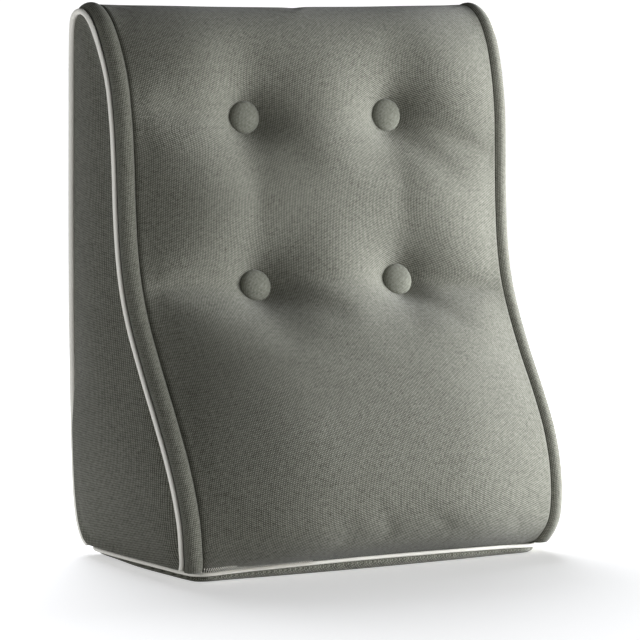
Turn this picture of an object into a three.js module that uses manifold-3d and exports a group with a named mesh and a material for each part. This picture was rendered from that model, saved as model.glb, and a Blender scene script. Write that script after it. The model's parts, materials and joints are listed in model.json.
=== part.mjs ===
import * as THREE from 'three';
import { mergeVertices } from 'three/addons/utils/BufferGeometryUtils.js';
import Module from 'manifold-3d';

// A backrest pillow that stands on its own base: a filled wedge with a curved, button-tufted front.
// Millimetres. +X is to the right for a viewer who faces the front, -Y is the front and +Z is up. The
// origin is on the floor, under the middle of the pillow.

// Trim: a border roll along each side of the front, top and back, with a thin piping outside it.
const seamGap = 0.3;
const rollRadius = 9.5;
const rollSides = 8;
const pipingRadius = 2.6;
const pipingSides = 6;
const pipingGap = 0.75;
const sidePipingEnd = 12.6;
const stepsPerRow = 2;

// The base: a flat panel whose edge curls up to the base seam, which a piping covers.
const baseSeamHeight = 8.5;
const baseContactInset = 9;
const basePipingSteps = 64;
const basePanelPoints = 48;
const pipingJoint = 1.4;

// Depths in the tables run from the front base seam to the back. That seam is this far in front of the
// origin.
const frontSeam = 92;

// The border roll's centre line, from the front base seam up the front, over the top and down the back.
// half is the distance from the pillow's middle plane, and tuck how far inside the line the piping lies.
const seamRows = [
    { height: 13, depth: -3, half: 210, tuck: 8 },
    { height: 22, depth: -16, half: 213, tuck: 8 },
    { height: 38, depth: -25, half: 216.5, tuck: 8 },
    { height: 62, depth: -26, half: 220, tuck: 8 },
    { height: 95, depth: -17.5, half: 223.5, tuck: 8 },
    { height: 130, depth: -3.5, half: 225.5, tuck: 8 },
    { height: 170, depth: 20.5, half: 226.5, tuck: 8 },
    { height: 215, depth: 51, half: 227, tuck: 8 },
    { height: 262, depth: 79, half: 228, tuck: 8 },
    { height: 296, depth: 93.5, half: 228.5, tuck: 8 },
    { height: 332, depth: 102, half: 229, tuck: 8 },
    { height: 380, depth: 107, half: 229.5, tuck: 8 },
    { height: 430, depth: 109, half: 230, tuck: 8 },
    { height: 477, depth: 112, half: 231, tuck: 8 },
    { height: 520, depth: 120.5, half: 232, tuck: 8 },
    { height: 555, depth: 135, half: 234, tuck: 6 },
    { height: 577, depth: 151.5, half: 235, tuck: 4 },
    { height: 588, depth: 168.5, half: 235, tuck: 3 },
    { height: 590.5, depth: 183, half: 235, tuck: 3 },
    { height: 587, depth: 196, half: 235, tuck: 4 },
    { height: 573, depth: 209.5, half: 234.5, tuck: 6 },
    { height: 545, depth: 218.5, half: 233.5, tuck: 8 },
    { height: 490, depth: 223, half: 232, tuck: 8 },
    { height: 340, depth: 231, half: 229.5, tuck: 8 },
    { height: 150, depth: 233.5, half: 227.5, tuck: 8 },
    { height: 62, depth: 232.5, half: 225, tuck: 8 },
    { height: 34, depth: 227.5, half: 223.5, tuck: 8 },
    { height: 19, depth: 218, half: 222.5, tuck: 8 },
    { height: 13, depth: 208, half: 221.5, tuck: 8 },
];

// How the panel between the rolls swells out of the seam, by the distance along it from the front base
// seam. rise is its height beside the rolls, edge the width over which it gets there, and belly what the
// middle adds, or sags by.
const panelRows = [
    { along: 0, rise: 14, edge: 46, belly: 3 },
    { along: 16, rise: 22, edge: 40, belly: 4 },
    { along: 45, rise: 27, edge: 26, belly: 5 },
    { along: 110, rise: 27, edge: 16, belly: 7 },
    { along: 260, rise: 27, edge: 14, belly: 7 },
    { along: 420, rise: 27, edge: 14, belly: 4 },
    { along: 560, rise: 25, edge: 16, belly: 2 },
    { along: 620, rise: 18, edge: 22, belly: -1 },
    { along: 660, rise: 9, edge: 30, belly: -6 },
    { along: 700, rise: 7, edge: 30, belly: -4 },
    { along: 760, rise: 9, edge: 30, belly: 0 },
    { along: 1200, rise: 9, edge: 30, belly: 2 },
    { along: 1320, rise: 6, edge: 36, belly: 1 },
];
// Close to the floor the panel swells level and not downwards.
const levelBelow = 80;

// The base seam's outline, from the front to the back. middle is its depth halfway across.
const baseRows = [
    { half: 200, depth: -11, middle: -19 },
    { half: 210, depth: -3, middle: -3 },
    { half: 214, depth: 14, middle: 14 },
    { half: 217.5, depth: 50, middle: 50 },
    { half: 223, depth: 110, middle: 110 },
    { half: 226.5, depth: 165, middle: 165 },
    { half: 226, depth: 200, middle: 200 },
    { half: 218, depth: 214, middle: 214 },
    { half: 204, depth: 220, middle: 225 },
];
const baseEdgeColumns = [0, 100, 160];

// The panel's columns, from the middle outwards: close together around the buttons, and then over the
// rounded edge, as shares of the edge's width.
const panelColumns = [0, 30, 56, 74, 88, 102, 122, 150, 180];
const edgeShares = [1, 0.43, 0.18, 0.05];

// How wide the side panels are by height, and how they puff out past the piping.
const sideRows = [
    { height: 0, half: 225, puff: 4 },
    { height: 40, half: 228, puff: 8 },
    { height: 100, half: 233, puff: 11 },
    { height: 210, half: 236, puff: 11 },
    { height: 360, half: 238.5, puff: 5 },
    { height: 600, half: 244, puff: 3 },
];
const sideSteps = [
    { inside: 5, share: 0.3 },
    { inside: 16, share: 0.75 },
    { inside: 36, share: 1 },
];
const sideCrown = 3;
// The middle line of a side panel, to which its surface closes in.
const spineSteps = [0.5, 0.86];
const spineLow = { height: 110, depth: 108 };
const spineHigh = { height: 510, depth: 168 };

// Four covered buttons pull the front in to their seats. A pull reaches further sideways than up or
// down, and furthest to the near seam.
const buttonSide = 87.5;
const buttonRadius = 18;
const buttonFacets = 16;
const buttonRim = 3;
const buttonProfile = [
    { radius: 0, height: 0 },
    { radius: 14.5, height: 0 },
    { radius: 17.6, height: 1.6 },
    { radius: 18, height: 3.4 },
    { radius: 16.2, height: 5.8 },
    { radius: 10, height: 8.2 },
    { radius: 0, height: 9.2 },
];
const buttonRows = [
    { name: 'lower', height: 296, seat: 3 },
    { name: 'upper', height: 477, seat: -4 },
];
const tuftFloor = 0.7;
const tuftReach = 30;
const tuftToSeam = 0.42;
const tuftToMiddle = 0.75;

const wasm = await Module();
wasm.setup();

// The value in a table's column at a place, between the two rows around it.
function lookUp(rows, key, at, name) {
    const found = rows.findIndex((row) => row[key] > at);
    const next = found < 0 ? rows.length - 1 : Math.max(found, 1);
    const low = rows[next - 1];
    const high = rows[next];
    const share = THREE.MathUtils.clamp((at - low[key]) / (high[key] - low[key]), 0, 1);
    return THREE.MathUtils.lerp(low[name], high[name], share);
}

// A path that takes its steps from its points, so that a tight bend gets more of them.
class SeamPath extends THREE.CatmullRomCurve3 {
    getUtoTmapping(u) {
        return u;
    }
}

// Stations along the roll's centre line on the right: the place, the outward direction, the distance
// along and the piping's tuck.
function makeStations() {
    const line = new SeamPath(seamRows.map(({ half, depth, height }) => (
        new THREE.Vector3(half, depth - frontSeam, height)
    )));
    const count = (seamRows.length - 1) * stepsPerRow;
    return line.getLengths(count).map((along, index) => {
        const place = line.getPoint(index / count);
        const tangent = line.getTangent(index / count);
        const outward = new THREE.Vector3(0, -tangent.z, tangent.y);
        if (place.z < levelBelow) {
            outward.z = Math.max(outward.z, 0);
        }
        outward.normalize();
        const row = index / stepsPerRow;
        const [before, after] = [seamRows[Math.floor(row)], seamRows[Math.ceil(row)]];
        const tuck = THREE.MathUtils.lerp(before.tuck, after.tuck, row % 1);
        return { place, outward, along, tuck };
    });
}

const stations = makeStations();

const tufts = buttonRows.flatMap((row) => [-1, 1].map((side) => {
    const station = stations.find(({ place }) => place.z > row.height - 1);
    return { ...row, ...station, side, x: side * buttonSide };
}));

// How far a tuft draws the panel in: 1 under the button, and less and less around it.
function tuftPull(tuft, x, along) {
    const towardsSeam = (x - tuft.x) * tuft.side > 0;
    const sideways = (x - tuft.x) * (towardsSeam ? tuftToSeam : tuftToMiddle);
    const distance = Math.hypot(sideways, along - tuft.along);
    return Math.exp(-Math.max(distance - buttonRadius * tuftFloor, 0) / tuftReach);
}

// How far the panel stands out from the seam.
function panelRise(x, along, half) {
    const rise = lookUp(panelRows, 'along', along, 'rise');
    const edge = lookUp(panelRows, 'along', along, 'edge');
    const belly = lookUp(panelRows, 'along', along, 'belly');
    const inside = Math.max(half - rollRadius - Math.abs(x), 0);
    const rim = Math.sqrt(1 - Math.max(1 - inside / edge, 0) ** 2);
    const full = rise * rim + belly * (1 - (x / half) ** 2);
    return tufts.reduce((height, tuft) => (
        height - (height - Math.min(tuft.seat, height)) * tuftPull(tuft, x, along)
    ), full);
}

// Where the panel's columns lie at a width, from the roll to the middle.
function columnPlaces(half, edge) {
    const rim = edgeShares.map((share) => half - rollRadius - share * edge);
    const squeeze = Math.min(1, rim[0] / (panelColumns.at(-1) + rollRadius));
    return [...panelColumns.map((x) => x * squeeze), ...rim].reverse();
}

// The right side panel's points, from its middle line out to an edge point.
function sidePoints(edge) {
    const spineLength = spineHigh.height - spineLow.height;
    const climb = THREE.MathUtils.clamp((edge.z - spineLow.height) / spineLength, 0, 1);
    const surface = (height) => (
        lookUp(sideRows, 'height', height, 'half') + lookUp(sideRows, 'height', height, 'puff')
    );
    const spineDepth = THREE.MathUtils.lerp(spineLow.depth, spineHigh.depth, climb) - frontSeam;
    const spineHeight = THREE.MathUtils.lerp(spineLow.height, spineHigh.height, climb);
    const spine = new THREE.Vector3(edge.x, spineDepth, spineHeight);
    const inward = spine.clone().sub(edge).normalize();
    const rim = sideSteps.map(({ inside, share }) => {
        const point = edge.clone().addScaledVector(inward, inside);
        point.x = THREE.MathUtils.lerp(edge.x, surface(point.z), share);
        return point;
    });
    const middle = spineSteps.map((share) => {
        const point = rim.at(-1).clone().lerp(spine, share);
        point.x = surface(point.z) + sideCrown * Math.sin(share * Math.PI / 2);
        return point;
    });
    return [...rim, ...middle].reverse();
}

// The piping's place beside a station of the roll.
function pipingPlace({ place, outward, tuck }) {
    const reach = rollRadius + pipingRadius + pipingGap;
    const point = place.clone().addScaledVector(outward, -tuck);
    point.x += Math.sqrt(reach ** 2 - tuck ** 2);
    return point;
}

// Across the right half of the body at a station, from the side panel's middle to the middle plane.
function seamSection(station) {
    const { place, outward, along } = station;
    const piping = pipingPlace(station);
    const panel = columnPlaces(place.x, lookUp(panelRows, 'along', along, 'edge')).map((x) => {
        const point = place.clone().addScaledVector(outward, panelRise(x, along, place.x));
        point.x = x;
        return point;
    });
    return [...sidePoints(piping), piping, place.clone(), ...panel];
}

// Across the right half of the flat underside, with as many points.
function baseSection({ half, depth, middle }) {
    const edge = new THREE.Vector3(half, depth - frontSeam, baseSeamHeight + seamGap);
    const flat = columnPlaces(half, rollRadius).map((x) => {
        const bow = (middle - depth) * (1 - (x / half) ** 2);
        return new THREE.Vector3(x, edge.y + bow, edge.z);
    });
    const inset = new THREE.Vector3(half - rollRadius / 2, edge.y, edge.z);
    return [...sidePoints(edge), edge, inset, ...flat];
}

// A surface over rows of points that closes around the rows, with flat lids over its two open ends.
function loft(rows, flatten) {
    const across = rows[0].length;
    const index = [];
    rows.forEach((row, at) => {
        const next = (at + 1) % rows.length;
        for (let step = 0; step < across - 1; step += 1) {
            const corner = at * across + step;
            const opposite = next * across + step;
            index.push(corner, corner + 1, opposite + 1, corner, opposite + 1, opposite);
        }
    });
    for (const end of [0, across - 1]) {
        const lid = rows.map((row) => flatten(row[end]));
        const turned = THREE.ShapeUtils.isClockWise(lid) === (end === 0);
        for (const face of THREE.ShapeUtils.triangulateShape(lid, [])) {
            const corners = face.map((at) => at * across + end);
            index.push(...(turned ? corners.reverse() : corners));
        }
    }
    const geometry = new THREE.BufferGeometry();
    const position = rows.flat().flatMap((point) => point.toArray());
    geometry.setAttribute('position', new THREE.Float32BufferAttribute(position, 3));
    geometry.setIndex(index);
    return geometry;
}

// A tube along a path, closed at both ends.
function tube(path, radius, sides, steps) {
    const ring = Array.from({ length: sides }, (_, at) => {
        const turn = 2 * Math.PI * (at + 0.5) / sides;
        return new THREE.Vector2(radius * Math.cos(turn), radius * Math.sin(turn));
    });
    return new THREE.ExtrudeGeometry(new THREE.Shape(ring), { steps, extrudePath: path });
}

function mirrored(points, side) {
    return points.map((point) => new THREE.Vector3(point.x * side, point.y, point.z));
}

function rollShape(side, grow) {
    const path = new SeamPath(mirrored(stations.map(({ place }) => place), side));
    return tube(path, rollRadius + grow, rollSides, stations.length - 1);
}

function pipingShape(side, grow) {
    const path = new SeamPath(mirrored(stations.map(pipingPlace), side));
    return tube(path, pipingRadius + grow, pipingSides, stations.length - 1);
}

// The base seam as a closed line, clockwise from the middle of the back as seen from above.
function makeBaseLine() {
    const [front] = baseRows;
    const back = baseRows.at(-1);
    const bowed = ({ half, depth, middle }, x) => new THREE.Vector3(
        x,
        depth + (middle - depth) * (1 - (x / half) ** 2) - frontSeam,
        baseSeamHeight,
    );
    const right = [
        ...baseEdgeColumns.map((x) => bowed(back, x)),
        ...baseRows.toReversed().map((row) => bowed(row, row.half)),
        ...baseEdgeColumns.toReversed().map((x) => bowed(front, x)),
    ];
    const left = mirrored(right.slice(1, -1), -1).reverse();
    return new THREE.CatmullRomCurve3([...right, ...left], true);
}

const baseLine = makeBaseLine();

// The base piping's two ends meet at the middle of the back.
function basePipingShape(grow) {
    const steps = Array.from({ length: basePipingSteps + 1 }, (_, at) => at / basePipingSteps);
    const points = steps.map((share) => baseLine.getPointAt(share % 1));
    const half = pipingJoint / 2 - grow;
    points[0].x += half;
    points.at(-1).x -= half;
    return tube(new SeamPath(points), pipingRadius + grow, pipingSides, basePipingSteps);
}

// The base panel's edge at a place on the base seam, from its underside to its upper side.
const basePanelEdge = [
    { inset: baseContactInset, height: 0 },
    { inset: 3.5, height: 1.6 },
    { inset: 1, height: 4.4 },
    { inset: 2, height: baseSeamHeight },
];

function basePanelShape() {
    const rows = Array.from({ length: basePanelPoints }, (_, at) => {
        const place = baseLine.getPointAt(at / basePanelPoints);
        const tangent = baseLine.getTangentAt(at / basePanelPoints);
        return basePanelEdge.map(({ inset, height }) => (
            new THREE.Vector3(place.x + tangent.y * inset, place.y - tangent.x * inset, height)
        ));
    });
    const panel = toSolid(loft(rows, (point) => new THREE.Vector2(point.x, point.y)));
    return toGeometry(panel.subtract(toSolid(basePipingShape(seamGap))));
}

function buttonShape(grow) {
    const profile = buttonProfile.map(({ radius, height }) => (
        new THREE.Vector2(radius === 0 ? 0 : radius + grow, height + (height < buttonRim ? -grow : grow))
    ));
    return new THREE.LatheGeometry(profile, buttonFacets);
}

// A button's place: on its seat, with its dome along the panel's outward direction.
function buttonMatrix({ x, place, outward, seat }) {
    const origin = place.clone().addScaledVector(outward, seat + seamGap);
    origin.x = x;
    const turn = new THREE.Quaternion().setFromUnitVectors(new THREE.Vector3(0, 1, 0), outward);
    return new THREE.Matrix4().compose(origin, turn, new THREE.Vector3(1, 1, 1));
}

function toSolid(geometry) {
    const plain = geometry.clone();
    plain.deleteAttribute('normal');
    plain.deleteAttribute('uv');
    const merged = mergeVertices(plain);
    const triVerts = Uint32Array.from(merged.index.array);
    const vertProperties = Float32Array.from(merged.attributes.position.array);
    return new wasm.Manifold(new wasm.Mesh({ numProp: 3, vertProperties, triVerts }));
}

function toGeometry(solid) {
    const { vertProperties, triVerts } = solid.getMesh();
    const geometry = new THREE.BufferGeometry();
    geometry.setAttribute('position', new THREE.BufferAttribute(vertProperties, 3));
    geometry.setIndex(new THREE.BufferAttribute(triVerts, 1));
    geometry.computeVertexNormals();
    return geometry;
}

// All the space above a height, as a block.
function spaceAbove(height) {
    const size = 1000;
    return toSolid(new THREE.BoxGeometry(size, size, size).translate(0, 0, height + size / 2));
}

function makeMesh(name, geometry, material) {
    const mesh = new THREE.Mesh(geometry, new THREE.MeshStandardMaterial(material));
    mesh.name = name;
    return mesh;
}

const coverFabric = { color: 0x7b7c70, roughness: 0.95, metalness: 0 };
const buttonFabric = { color: 0x85867c, roughness: 0.9, metalness: 0 };
const pipingFabric = { color: 0xd8d5c8, roughness: 0.85, metalness: 0 };
const sides = [{ name: 'left', side: -1 }, { name: 'right', side: 1 }];
const rollCut = baseSeamHeight + pipingRadius + seamGap;

// The filled body: its panel between the rolls, its side panels and its flat underside, drawn in at the
// rolls, the piping and the buttons.
function makeBody() {
    const halves = [...stations.slice(1, -1).map(seamSection), ...baseRows.toReversed().map(baseSection)];
    const rows = halves.map((half) => [...mirrored(half, -1), ...half.slice(0, -1).reverse()]);
    const filled = toSolid(loft(rows, (point) => new THREE.Vector2(point.y, point.z)));
    const rolls = sides.map(({ side }) => toSolid(rollShape(side, seamGap)));
    const pipings = sides.map(({ side }) => toSolid(pipingShape(side, seamGap)));
    const buttons = tufts.map((tuft) => toSolid(buttonShape(seamGap).applyMatrix4(buttonMatrix(tuft))));
    const cuts = [...rolls, ...pipings, toSolid(basePipingShape(seamGap)), ...buttons];
    return toGeometry(cuts.reduce((body, cut) => body.subtract(cut), filled));
}

const pillow = new THREE.Group();
pillow.add(makeMesh('cushion_body', makeBody(), coverFabric));
pillow.add(makeMesh('base_panel', basePanelShape(), coverFabric));
pillow.add(makeMesh('base_piping', basePipingShape(0), pipingFabric));
for (const { name, side } of sides) {
    const roll = toSolid(rollShape(side, 0)).intersect(spaceAbove(rollCut));
    const piping = toSolid(pipingShape(side, 0)).intersect(spaceAbove(sidePipingEnd));
    pillow.add(makeMesh(`border_roll_${name}`, toGeometry(roll), coverFabric));
    pillow.add(makeMesh(`side_piping_${name}`, toGeometry(piping), pipingFabric));
}
for (const tuft of tufts) {
    const { name } = sides.find(({ side }) => side === tuft.side);
    const button = makeMesh(`button_${tuft.name}_${name}`, buttonShape(0), buttonFabric);
    button.applyMatrix4(buttonMatrix(tuft));
    pillow.add(button);
}

export default pillow;
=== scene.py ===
# A backrest pillow: a button-tufted wedge that stands on its base, with border rolls, off-white piping and
# covered buttons. Metres, +X right for someone who faces the front, -Y the front, +Z up.
import json
import math

import bmesh
import bpy
import numpy as np
from mathutils import Matrix, Vector

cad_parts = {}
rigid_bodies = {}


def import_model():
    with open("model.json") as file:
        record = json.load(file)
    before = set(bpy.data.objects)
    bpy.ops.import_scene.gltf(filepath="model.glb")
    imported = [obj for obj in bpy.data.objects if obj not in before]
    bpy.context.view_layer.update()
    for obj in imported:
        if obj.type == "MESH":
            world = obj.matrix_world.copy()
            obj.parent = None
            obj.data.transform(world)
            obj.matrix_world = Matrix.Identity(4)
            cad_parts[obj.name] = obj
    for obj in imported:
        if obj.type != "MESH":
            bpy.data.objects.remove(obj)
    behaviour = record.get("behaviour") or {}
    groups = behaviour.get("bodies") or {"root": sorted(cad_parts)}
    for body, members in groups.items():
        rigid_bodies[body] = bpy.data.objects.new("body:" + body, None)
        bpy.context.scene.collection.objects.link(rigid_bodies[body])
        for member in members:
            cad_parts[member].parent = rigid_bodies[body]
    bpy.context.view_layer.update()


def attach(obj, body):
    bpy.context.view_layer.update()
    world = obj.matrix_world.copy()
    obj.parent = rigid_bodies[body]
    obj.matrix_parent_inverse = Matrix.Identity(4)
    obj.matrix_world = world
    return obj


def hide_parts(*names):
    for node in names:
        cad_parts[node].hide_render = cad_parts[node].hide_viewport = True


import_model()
mm = 0.001

# Depths below run from the front base seam to the back; that seam is this far in front of the origin.
frontSeam = 92 * mm

# The border roll's centre line, from the front base seam over the top and down the back, in mm:
# half width, depth, height, and how far inside the line the piping lies.
seamRows = np.array([
    (210.5, -6, 13, 8), (214, -15, 22, 8), (218.5, -22.5, 38, 8), (221, -24, 62, 8),
    (223.5, -17.5, 95, 8), (225.5, -3.5, 130, 8), (226.5, 20.5, 170, 8), (227, 51, 215, 8),
    (228, 79, 262, 8), (228.5, 93.5, 296, 8), (229, 102, 332, 8), (229.5, 107, 380, 8),
    (230, 109, 430, 8), (231, 112, 477, 8), (232, 120.5, 520, 8), (234, 135, 555, 6),
    (235, 151.5, 577, 3), (235, 168.5, 588, 1), (235, 183, 590.5, 0.5), (235, 196, 587, 2),
    (234.5, 209.5, 573, 6), (233.5, 218.5, 545, 8), (232, 223, 490, 8), (229.5, 231, 340, 8),
    (227.5, 233.5, 150, 8), (225, 232.5, 62, 8), (223.5, 227.5, 34, 8), (222.5, 218, 19, 8),
    (221.5, 208, 13, 8),
]) * mm
topFrontRow, topBackRow = 16, 20        # where the top begins and ends in that list
stepsPerRow = 40

trim = {
    "rollRadius": 9.5 * mm,
    "pipingRadius": 2.6 * mm,
    "backPipingRadius": 3.4 * mm,       # down the back
    "backFrom": (150 * mm, 200 * mm),   # the depths between which the back begins
    "pipingGap": 0.75 * mm,             # between the roll and the piping
    "clearance": 0.3 * mm,              # between a piece and the fabric around it
    "baseSeamHeight": 8.5 * mm,
}


def splineThrough(points, steps, closed=False):
    # Between two points a cubic, s(2t3 - 3t2 + 1) + a(t3 - 2t2 + t) + e(3t2 - 2t3) + b(t3 - t2), in which
    # the slopes a and b lean on the neighbours by the square roots of their distances.
    if closed:
        padded = np.vstack([points[-1:], points, points[:2]])
    else:
        padded = np.vstack([2 * points[:1] - points[1:2], points, 2 * points[-1:] - points[-2:-1]])
    before, start, end, after = padded[:-3], padded[1:-2], padded[2:-1], padded[3:]
    gapIn, gap, gapOut = (
        np.linalg.norm((b - a)[:, :3], axis=1)[:, None] ** 0.5
        for a, b in ((before, start), (start, end), (end, after))
    )
    slopeIn = ((start - before) / gapIn - (end - before) / (gapIn + gap)) * gap + end - start
    slopeOut = ((after - end) / gapOut - (after - start) / (gap + gapOut)) * gap + end - start
    t = (np.arange(steps) / steps)[None, :, None]
    line = (start[:, None] * (2 * t**3 - 3 * t**2 + 1) + slopeIn[:, None] * (t**3 - 2 * t**2 + t)
            + end[:, None] * (3 * t**2 - 2 * t**3) + slopeOut[:, None] * (t**3 - t**2))
    line = line.reshape(-1, points.shape[1])
    return np.vstack([line, points[:1] if closed else points[-1:]])


def arcLength(line):
    # the distance along a line of points at each of them
    return np.concatenate([[0], np.cumsum(np.linalg.norm(np.diff(line[:, :3], axis=0), axis=1))])


def resample(line, places):
    # the line's columns at distances along it
    arc = arcLength(line)
    return np.stack([np.interp(places, arc, column) for column in line.T], axis=1)


def smoothTable(rows, at, width):
    # a table's columns at places, rounded off over a width: the mean of table(at + offset), in which an
    # offset weighs cos(offset pi / 2) and a little more
    samples, leastWeight = 9, 0.05
    offsets = np.linspace(-1, 1, samples)
    weights = np.cos(offsets * math.pi / 2) + leastWeight
    smoothed = []
    for column in rows.T[1:]:
        values = [w * np.interp(at + o * width, rows[:, 0], column) for o, w in zip(offsets, weights)]
        smoothed.append(sum(values) / weights.sum())
    return smoothed


def gridFaces(rows, columns, start):
    # the quads of a grid of points kept row by row: point = row columns + column
    row, column = np.meshgrid(np.arange(rows - 1), np.arange(columns - 1), indexing="ij")
    corner = (row * columns + column).ravel() + start
    return np.stack([corner, corner + 1, corner + columns + 1, corner + columns], axis=1)


def joinGrids(name, grids, tolerance=0.01 * mm):
    # Several (points, uvs) grids as one closed mesh whose faces turn outwards. Points that round to the same
    # place become one, and a quad's corners that fall together are dropped.
    points = np.concatenate([points.reshape(-1, 3) for points, _ in grids])
    uvs = np.concatenate([uv.reshape(-1, 2) for _, uv in grids])
    starts = np.cumsum([0] + [points.shape[0] * points.shape[1] for points, _ in grids])
    faces = np.concatenate([gridFaces(*grid.shape[:2], start) for (grid, _), start in zip(grids, starts)])
    _, first, same = np.unique(np.round(points / tolerance), axis=0, return_index=True, return_inverse=True)
    joined = same.ravel()[faces]
    kept = joined != np.roll(joined, -1, axis=1)
    kept &= (kept.sum(axis=1) > 2)[:, None]
    total = kept.sum(axis=1)
    total = total[total > 0]
    mesh = bpy.data.meshes.new(name)
    mesh.vertices.add(len(first))
    mesh.vertices.foreach_set("co", points[first].astype(np.float32).ravel())
    mesh.loops.add(int(total.sum()))
    mesh.loops.foreach_set("vertex_index", joined[kept].astype(np.int32))
    mesh.polygons.add(len(total))
    mesh.polygons.foreach_set("loop_start", (np.cumsum(total) - total).astype(np.int32))
    layer = mesh.uv_layers.new(name="weave")
    layer.data.foreach_set("uv", uvs[faces[kept]].astype(np.float32).ravel())
    mesh.update(calc_edges=True)
    solid = bmesh.new()
    solid.from_mesh(mesh)
    bmesh.ops.recalc_face_normals(solid, faces=solid.faces)
    solid.to_mesh(mesh)
    solid.free()
    mesh.shade_smooth()
    obj = bpy.data.objects.new(name, mesh)
    bpy.context.collection.objects.link(obj)
    return obj


bow = {
    "rise": 4 * mm,                     # how far the filling lifts the front base seam between its corners
    "corner": 205 * mm,
    "front": -62 * mm,                  # it fades out behind this
    "fade": 7 * mm,
}


def bowFrontSeam(mesh):
    # z + rise (1 - (x / corner)2) share exp(1 - share) / (1 + exp((y - front) / fade)), with share = z over
    # the base seam's height
    points = np.empty(len(mesh.vertices) * 3, np.float32)
    mesh.vertices.foreach_get("co", points)
    points = points.reshape(-1, 3)
    x, y, z = points.T
    between = np.maximum(1 - (x / bow["corner"]) ** 2, 0)
    inFront = 1 / (1 + np.exp((y - bow["front"]) / bow["fade"]))
    share = np.maximum(z, 0) / trim["baseSeamHeight"]
    points[:, 2] += bow["rise"] * between * inFront * share * np.exp(1 - share)
    mesh.vertices.foreach_set("co", points.ravel())
    mesh.update()


def finishPiece(obj, material, slotName, *nodes):
    # the piece's fabric, the body it rides on and the CAD nodes it stands for
    bowFrontSeam(obj.data)
    obj.data.materials.append(material)
    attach(obj, "root")
    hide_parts(*nodes)
    return obj


# The seam line at its stations, closest together over the top.
seam = splineThrough(seamRows, stepsPerRow)
seam[:, 1] -= frontSeam
seamArc = arcLength(seam)
body = {
    "frontSteps": 104,                  # mesh rows up the front, and as many down the back
    "topSteps": 28,                     # over the top, and from front to back underneath
    "innerSteps": 32,                   # columns from the middle to the rounded edge
    "rimSteps": 4,                      # columns over the rounded edge
    "rollSteps": 11,                    # under the roll
    "pipingSteps": 4,                   # under the piping
    # how much of the piping the side panel leaves bare, in radians: front, back, and back low down
    "pipingBare": (0.9, 2.0, 0.6),
    "rollShort": 0.25,                  # how far the hollows stop short of each other, in radians
    "pipingShort": 0.5,
    "middleWide": 0.25,                 # how much wider the columns lie in the middle
    "seamPinch": 0.1,                   # how much closer the side panels' columns lie at their seams
}
topFront, topBack = seamArc[topFrontRow * stepsPerRow], seamArc[topBackRow * stepsPerRow]
evenly = np.linspace(0, 1, body["topSteps"] + 1)
pinched = evenly - body["seamPinch"] * np.sin(2 * math.pi * evenly)
along = np.concatenate([
    np.linspace(0, topFront, body["frontSteps"] + 1),
    topFront + (topBack - topFront) * pinched[1:],
    np.linspace(topBack, seamArc[-1], body["frontSteps"] + 1)[1:],
])
stations = resample(seam, along)
levelBelow = 80 * mm                    # close to the floor the panel swells level and not downwards


def outwardAt(line, places):
    # out of the pillow, square to the line as seen from the side: (0, -dz, dy) / length
    slope = np.gradient(line[:, :3], places, axis=0)
    outward = np.stack([np.zeros(len(line)), -slope[:, 2], slope[:, 1]], axis=1)
    low = line[:, 2] < levelBelow
    outward[low, 2] = np.maximum(outward[low, 2], 0)
    return outward / np.linalg.norm(outward, axis=1)[:, None]


def byDepth(line, front, back):
    # a value at the front and another at the back, with a smooth step s2 (3 - 2s) over the top
    start, end = trim["backFrom"]
    share = np.clip((line[:, 1] + frontSeam - start) / (end - start), 0, 1)
    return front + (back - front) * share**2 * (3 - 2 * share)


def pipingLine(line, outward):
    # the piping's centre: tuck inside the roll's centre, and out to the side by sqrt(reach2 - tuck2)
    cordRadius = byDepth(line, trim["pipingRadius"], trim["backPipingRadius"])
    reach = trim["rollRadius"] + cordRadius + trim["pipingGap"]
    tuck = line[:, 3]
    points = line[:, :3] - outward * tuck[:, None]
    points[:, 0] += np.sqrt(reach**2 - tuck**2)
    return points


outward = outwardAt(stations, along)
piping = pipingLine(stations, outward)

# The base seam, as a closed line from the middle of the front, counterclockwise from above, in mm: half
# width, depth at that width, depth halfway across.
baseRows = np.array([
    (200, -11, -19), (210, -3, -3), (214, 14, 14), (217.5, 50, 50), (223, 110, 110), (226.5, 165, 165),
    (226, 200, 200), (218, 214, 214), (204, 220, 225),
]) * mm
baseEdgeColumns = np.array([0, 100, 160]) * mm
stepsPerBaseRow = 24


def makeBaseLine():
    # across the front and back the depth is edge + (middle - edge)(1 - (x / half)2)
    def bowed(row, x):
        half, depth, middle = row
        return np.stack([x, depth + (middle - depth) * (1 - (x / half) ** 2) - frontSeam], axis=1)
    right = np.vstack([
        bowed(baseRows[0], baseEdgeColumns),
        baseRows[:, :2] - [0, frontSeam],
        bowed(baseRows[-1], baseEdgeColumns[::-1]),
    ])
    left = right[-2:0:-1] * [-1, 1]
    flat = np.vstack([right, left])
    line = np.column_stack([flat, np.full(len(flat), trim["baseSeamHeight"])])
    return splineThrough(line, stepsPerBaseRow, closed=True)


baseLine = makeBaseLine()
baseArc = arcLength(baseLine)


def baseAt(places, inset, height):
    # points inside the base seam by an inset, at a height: place + inset (-dy, dx)
    reach = 2 * mm                      # along the seam, for its direction
    ahead = resample(baseLine, (places + reach) % baseArc[-1])
    behind = resample(baseLine, (places - reach) % baseArc[-1])
    slope = (ahead - behind)[:, :2]
    slope /= np.linalg.norm(slope, axis=1)[:, None]
    points = resample(baseLine, places % baseArc[-1])
    points[:, 0] -= slope[:, 1] * inset
    points[:, 1] += slope[:, 0] * inset
    points[:, 2] = height
    return points


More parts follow.
